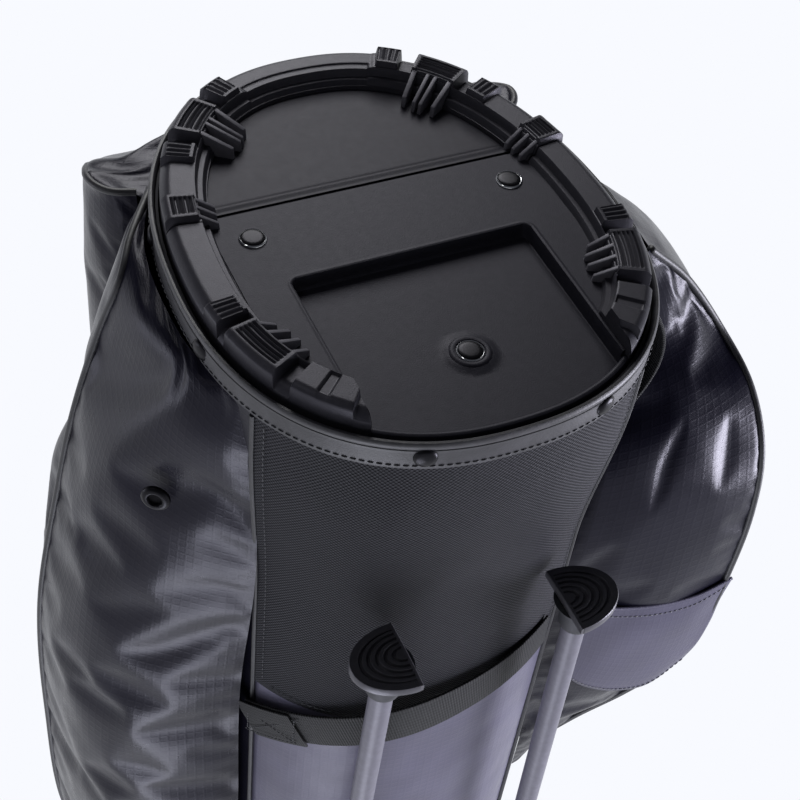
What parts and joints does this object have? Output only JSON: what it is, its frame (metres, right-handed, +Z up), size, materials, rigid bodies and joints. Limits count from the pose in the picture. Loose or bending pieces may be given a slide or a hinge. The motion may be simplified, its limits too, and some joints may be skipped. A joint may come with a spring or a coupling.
{
  "type": "golf stand bag",
  "caption": "Oval golf stand bag with side and ball pockets, divided club wells, two folding legs, and a hinged base plate that pushes the legs out.",
  "frame": {"origin": "on the ground, at the middle of the base and of the bounding box", "axes": "+Z up along the bag, -Y towards the legs and the front of the hinged base plate, +X across the bag towards the apparel pocket"},
  "size_m": [0.424, 0.4, 0.88],
  "materials": {
    "liner_fabric": "matte",
    "divider_fabric": "matte",
    "trim_leather": "satin",
    "rivet_black": "gloss",
    "boot_nylon": "matte",
    "front_ripstop": "satin",
    "coated_ripstop": "satin",
    "moulded_black": "matte",
    "rubber_black": "matte",
    "webbing_black": "matte",
    "leg_grey": "satin",
    "steel": "satin",
    "rod_fibre": "satin",
    "zip_black": "satin"
  },
  "bodies": {
    "bag": {"liner": "liner_fabric", "trim_band": "trim_leather", "trim_rivets": "rivet_black", "boot_panel": "boot_nylon", "front_panel": "front_ripstop", "left_panel": "coated_ripstop", "right_panel": "coated_ripstop", "spine_panel": "front_ripstop", "cuff": "moulded_black", "divider_frame": "moulded_black", "centre_divider": "divider_fabric", "front_divider": "divider_fabric", "rear_divider": "divider_fabric", "stay_rods": "rod_fibre", "top_handle": "moulded_black", "base_rear": "moulded_black", "rear_rim": "moulded_black", "grip_rear_left": "rubber_black", "grip_rear_right": "rubber_black", "grip_hinge_left": "rubber_black", "grip_hinge_right": "rubber_black", "hinge_pin": "steel", "left_pocket": "coated_ripstop", "right_pocket": "coated_ripstop", "ball_pocket": "coated_ripstop", "hood_pocket": "coated_ripstop", "eyelet": "rivet_black", "webbing_handle": "webbing_black", "webbing_loop": "webbing_black", "leg_hub": "moulded_black", "hub_screws": "steel", "pivot_left": "steel", "pivot_right": "steel", "strap_anchors": "moulded_black", "strap_left": "webbing_black", "strap_right": "webbing_black", "zip_left": "zip_black", "zip_right": "zip_black", "zip_ball": "zip_black", "rod_guide": "moulded_black", "return_spring": "steel"},
    "plate": {"base_plate": "moulded_black", "front_rim": "moulded_black", "grip_front_left": "rubber_black", "grip_front_right": "rubber_black", "plate_rivets": "rivet_black", "push_pad": "moulded_black"},
    "rod": {"actuator_rod": "steel"},
    "left_leg": {"leg_left": "leg_grey", "leg_boot_left": "rubber_black", "foot_left": "rubber_black"},
    "right_leg": {"leg_right": "leg_grey", "leg_boot_right": "rubber_black", "foot_right": "rubber_black"},
    "left_slider": {"slider_left": "zip_black"},
    "left_pull": {"pull_left": "zip_black"},
    "right_slider": {"slider_right": "zip_black"},
    "right_pull": {"pull_right": "zip_black"},
    "ball_slider": {"slider_ball": "zip_black"},
    "ball_pull": {"pull_ball": "zip_black"}
  },
  "joints": [
    {"name": "base_hinge", "type": "hinge", "parent": "bag", "child": "plate", "pos_m": [0, 0.0345, 0.022], "axis": [-1, 0, 0], "range_deg": [0, 10], "stiffness_Nm_per_rad": 14, "springref_deg": -17.19},
    {"name": "rod_slide", "type": "slide", "parent": "bag", "child": "rod", "axis": [0, 0, 1], "range_m": [0, 0.02855], "deforming": ["return_spring"]},
    {"name": "left_leg_swing", "type": "hinge", "parent": "bag", "child": "left_leg", "pos_m": [0.075, -0.157, 0.802], "axis": [-0.848, -0.5299, 0], "range_deg": [0, 36.01]},
    {"name": "right_leg_swing", "type": "hinge", "parent": "bag", "child": "right_leg", "pos_m": [-0.075, -0.157, 0.802], "axis": [-0.848, 0.5299, 0], "range_deg": [0, 36.01]},
    {"name": "left_zip_slide", "type": "slide", "parent": "bag", "child": "left_slider", "axis": [0, 0, -1], "range_m": [0, 0.28]},
    {"name": "left_pull_swing", "type": "hinge", "parent": "left_slider", "child": "left_pull", "pos_m": [0.16887, 0.06938, 0.5442], "axis": [0.8805, -0.4741, 0], "range_deg": [0, 100]},
    {"name": "right_zip_slide", "type": "slide", "parent": "bag", "child": "right_slider", "axis": [0, 0, -1], "range_m": [0, 0.28]},
    {"name": "right_pull_swing", "type": "hinge", "parent": "right_slider", "child": "right_pull", "pos_m": [-0.16887, 0.06938, 0.5442], "axis": [0.8805, 0.4741, 0], "range_deg": [0, 100]},
    {"name": "ball_zip_slide", "type": "slide", "parent": "bag", "child": "ball_slider", "axis": [1, 0, 0], "range_m": [0, 0.126]},
    {"name": "ball_pull_swing", "type": "hinge", "parent": "ball_slider", "child": "ball_pull", "pos_m": [-0.063, 0.1992, 0.3042], "axis": [1, 0, 0], "range_deg": [0, 100]}
  ],
  "couplings": [
    {"joint": "rod_slide", "follows": "base_hinge", "m_per_rad": 0.1635},
    {"joint": "left_leg_swing", "follows": "base_hinge", "ratio": 3.6},
    {"joint": "right_leg_swing", "follows": "base_hinge", "ratio": 3.6}
  ]
}
